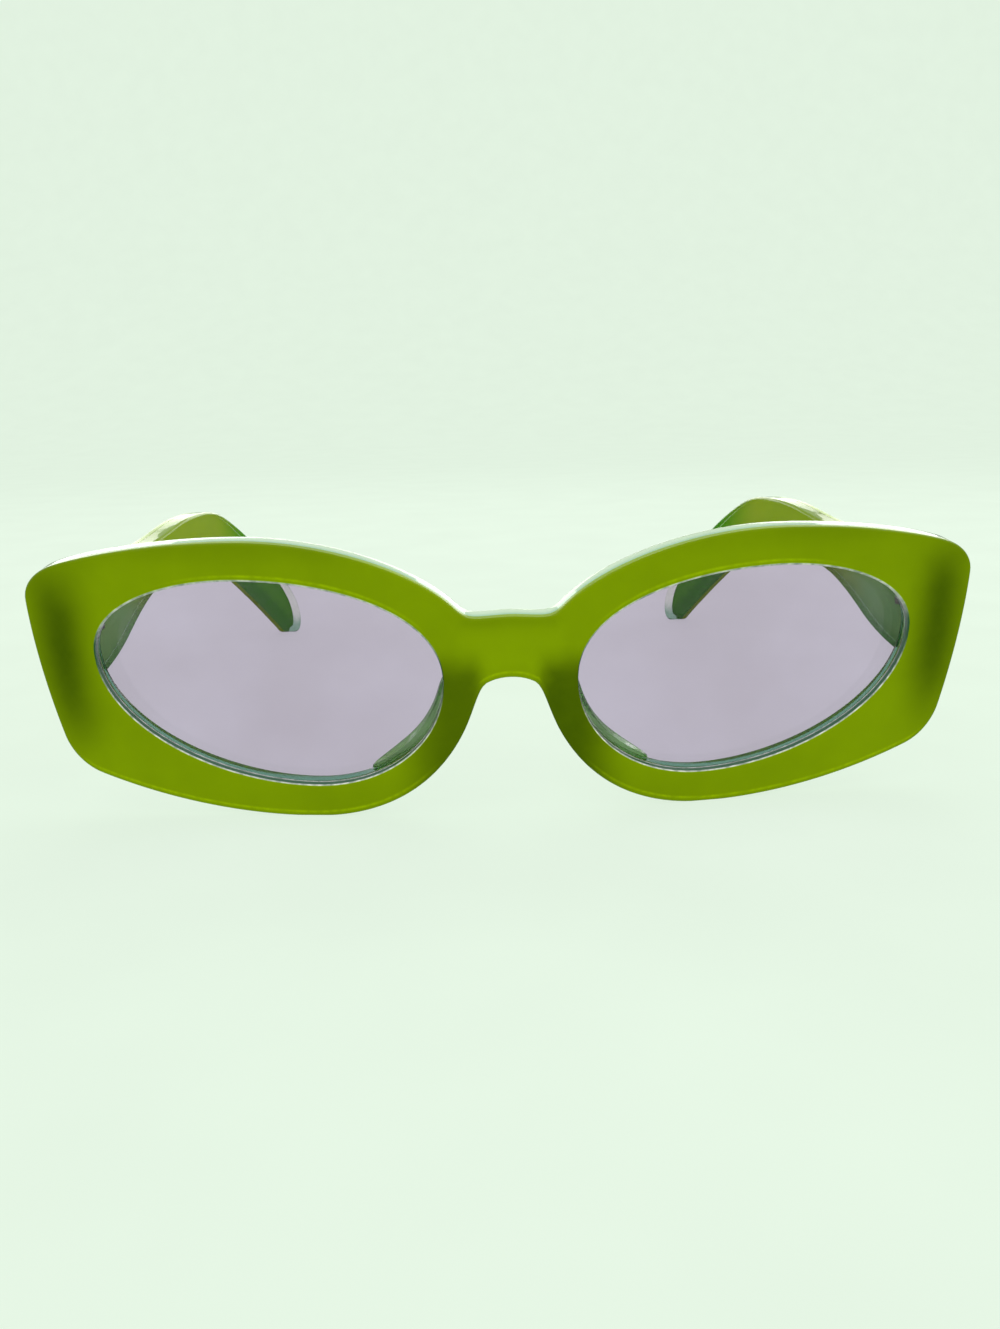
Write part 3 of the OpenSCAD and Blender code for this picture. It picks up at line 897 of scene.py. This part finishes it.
def floor_sweep():
    """A pale floor that curves up into a backdrop far behind. Its lengths are in metres.

    It glows evenly, so that it stays plain, but a mirror sees it dark close by.
    """
    near_end, bend, radius, top, half_width, steps = -3.0, 1.2, 0.8, 4.0, 4.0, 16
    rows = [(near_end, 0.0), (bend, 0.0)]
    rows += [(bend + radius * math.sin(a), radius * (1 - math.cos(a)))
             for a in (math.pi / 2 * k / steps for k in range(1, steps + 1))]
    rows.append((bend + radius, top))
    points = [(x, y, z) for y, z in rows for x in (-half_width, half_width)]
    faces = [(2 * k, 2 * k + 1, 2 * k + 3, 2 * k + 2) for k in range(len(rows) - 1)]
    mesh = bpy.data.meshes.new("floor_sweep")
    mesh.from_pydata(points, [], faces)
    mesh.polygons.foreach_set("use_smooth", [True] * len(faces))
    mat, nt, shader = node_material("floor")
    speck = map_range(nt, noise_node(nt, 30, 3, 0.5), 0.3, 0.7, 0.0, 1.0)
    dull, pale = (tuple(c * amount for c in FLOOR_COLOUR) for amount in (0.11, 0.13))
    colour = mixed(nt, speck, dull, pale)
    nt.links.new(colour, shader.inputs["Base Color"])
    shader.inputs["Roughness"].default_value = 0.9
    shader.inputs["Specular IOR Level"].default_value = 0.0
    path = nt.nodes.new("ShaderNodeLightPath")
    shade = tuple(c * 0.05 for c in FLOOR_COLOUR)
    mirrored = maths(nt, "SUBTRACT", path.outputs["Is Glossy Ray"], path.outputs["Is Transmission Ray"])
    coord = nt.nodes.new("ShaderNodeTexCoord")
    apart = nt.nodes.new("ShaderNodeSeparateXYZ")
    nt.links.new(coord.outputs["Object"], apart.inputs[0])
    near = map_range(nt, apart.outputs["Y"], 0.5, 1.2, 1.0, 0.0)
    glow = mixed(nt, maths(nt, "MULTIPLY", mirrored, near), FLOOR_COLOUR, shade)
    nt.links.new(glow, shader.inputs["Emission Color"])
    shader.inputs["Emission Strength"].default_value = 0.86
    mesh.materials.append(mat)
    floor = bpy.data.objects.new("floor_sweep", mesh)
    bpy.context.scene.collection.objects.link(floor)


def area_light(name, place, target, width, height, power, colour=(1, 1, 1), mirrored_only=False):
    """A soft lamp the camera doesn't see. One that is mirrored only doesn't light dull surfaces."""
    light = bpy.data.lights.new(name, "AREA")
    light.shape = "RECTANGLE"
    light.size, light.size_y = width, height
    light.energy = power
    light.color = colour
    lamp = bpy.data.objects.new(name, light)
    lamp.location = place
    lamp.rotation_euler = (Vector(target) - Vector(place)).to_track_quat("-Z", "Y").to_euler()
    lamp.visible_camera = False
    lamp.visible_diffuse = not mirrored_only
    lamp.visible_transmission = False
    bpy.context.scene.collection.objects.link(lamp)


def make_camera():
    """The eye stands in front, a little to the wearer's right, and looks down at the bridge."""
    data = bpy.data.cameras.new("camera")
    data.sensor_fit = "VERTICAL"
    data.sensor_height = data.sensor_width = 36.0
    data.lens = EYE_LENS
    data.clip_start = 0.01
    yaw, pitch, roll = (math.radians(a) for a in EYE_TURNS)
    ahead = Vector((math.sin(yaw) * math.cos(pitch), math.cos(yaw) * math.cos(pitch), -math.sin(pitch)))
    right = Vector((math.cos(yaw), -math.sin(yaw), 0))
    down = ahead.cross(right)
    right, down = (right * math.cos(roll) + down * math.sin(roll),
                   down * math.cos(roll) - right * math.sin(roll))
    turn = Matrix((right, -down, -ahead)).transposed().to_4x4()
    camera = bpy.data.objects.new("camera", data)
    camera.matrix_world = Matrix.Translation(Vector(EYE) * MM) @ turn
    bpy.context.scene.collection.objects.link(camera)
    bpy.context.scene.camera = camera


floor_sweep()
area_light("key", (-0.45, -0.45, 0.75), (0, -0.02, 0.02), 0.6, 0.6, 1.1, (1.0, 0.99, 0.97))
area_light("fill", (0.7, -0.3, 0.6), (0, -0.02, 0.02), 0.6, 0.6, 0.7, (0.96, 0.98, 1.0))
area_light("back", (0.05, 0.40, 0.52), (0, -0.04, 0.03), 0.7, 0.26, 2.0)
area_light("low_strip", (0.0, 0.60, 0.15), (0, 0, 0.035), 1.0, 0.16, 1.0, (1.0, 0.98, 0.95), True)
area_light("back_right", (0.42, 0.1, 0.3), (0.06, -0.06, 0.035), 0.18, 0.18, 0.4)

world = bpy.data.worlds.new("world")
world.use_nodes = True
background = world.node_tree.nodes["Background"]
seen = world.node_tree.nodes.new("ShaderNodeLightPath").outputs["Is Camera Ray"]
sky = mixed(world.node_tree, seen, SKY_COLOUR, BACKDROP_COLOUR)
world.node_tree.links.new(sky, background.inputs["Color"])
background.inputs["Strength"].default_value = 0.8
bpy.context.scene.world = world
bpy.context.scene.view_settings.view_transform = "Standard"
make_camera()
